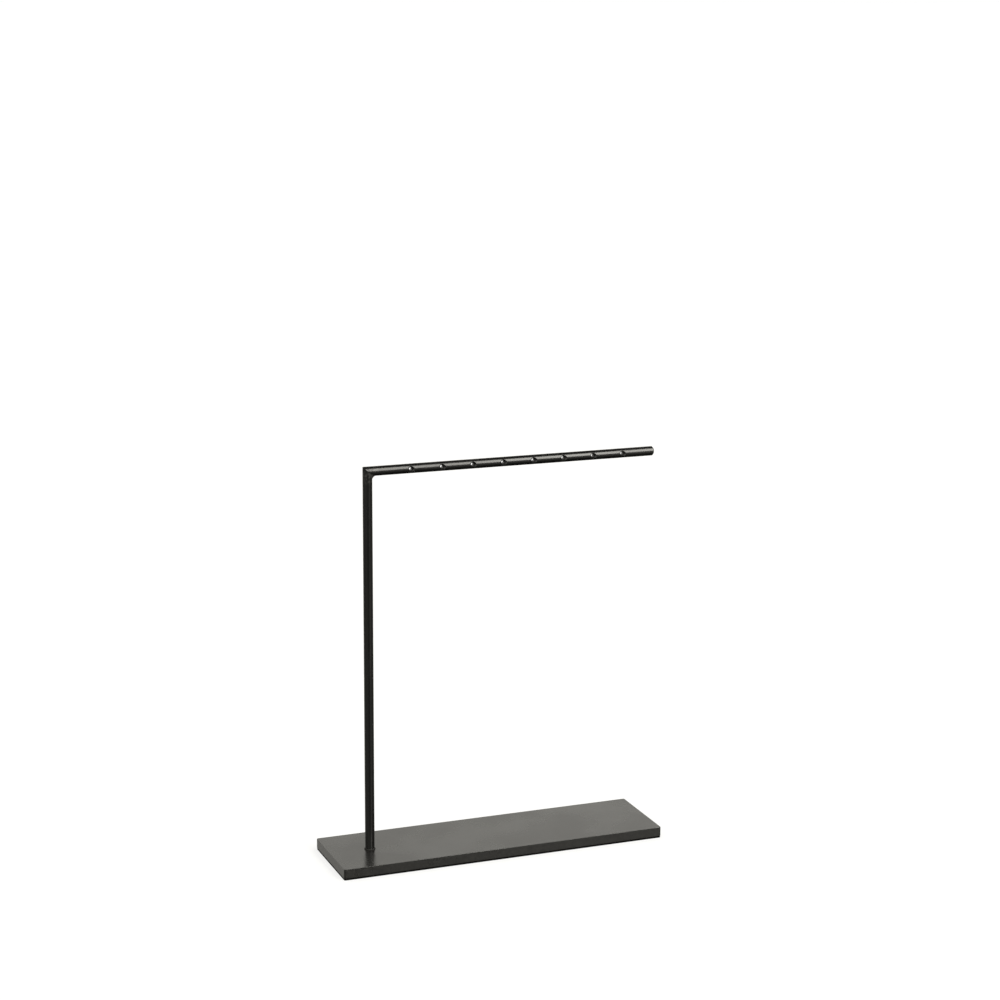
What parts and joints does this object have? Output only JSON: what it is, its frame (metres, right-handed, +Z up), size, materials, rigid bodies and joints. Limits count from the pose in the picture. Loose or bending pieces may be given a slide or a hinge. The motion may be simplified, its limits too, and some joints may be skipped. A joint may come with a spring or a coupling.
{
  "type": "eyeglasses display stand",
  "caption": "Upside-down L of black powder-coated round steel bar on a flat rectangular base, with a row of small cross holes in the arm.",
  "frame": {"origin": "on the table, under the middle of the whole stand, the arm's overhang included", "axes": "+X along the arm from the post to its free end, +Y from front to back, +Z up"},
  "size_m": [0.29, 0.078, 0.338],
  "materials": {
    "mat": "matte",
    "coated_plate": "satin",
    "coated_bar": "satin",
    "coated_weld": "satin"
  },
  "bodies": {
    "root": {"base_mat": "mat", "base_plate": "coated_plate", "plug_weld": "coated_weld", "post": "coated_bar", "foot_weld": "coated_weld", "arm": "coated_bar", "elbow_weld": "coated_weld"}
  },
  "joints": []
}
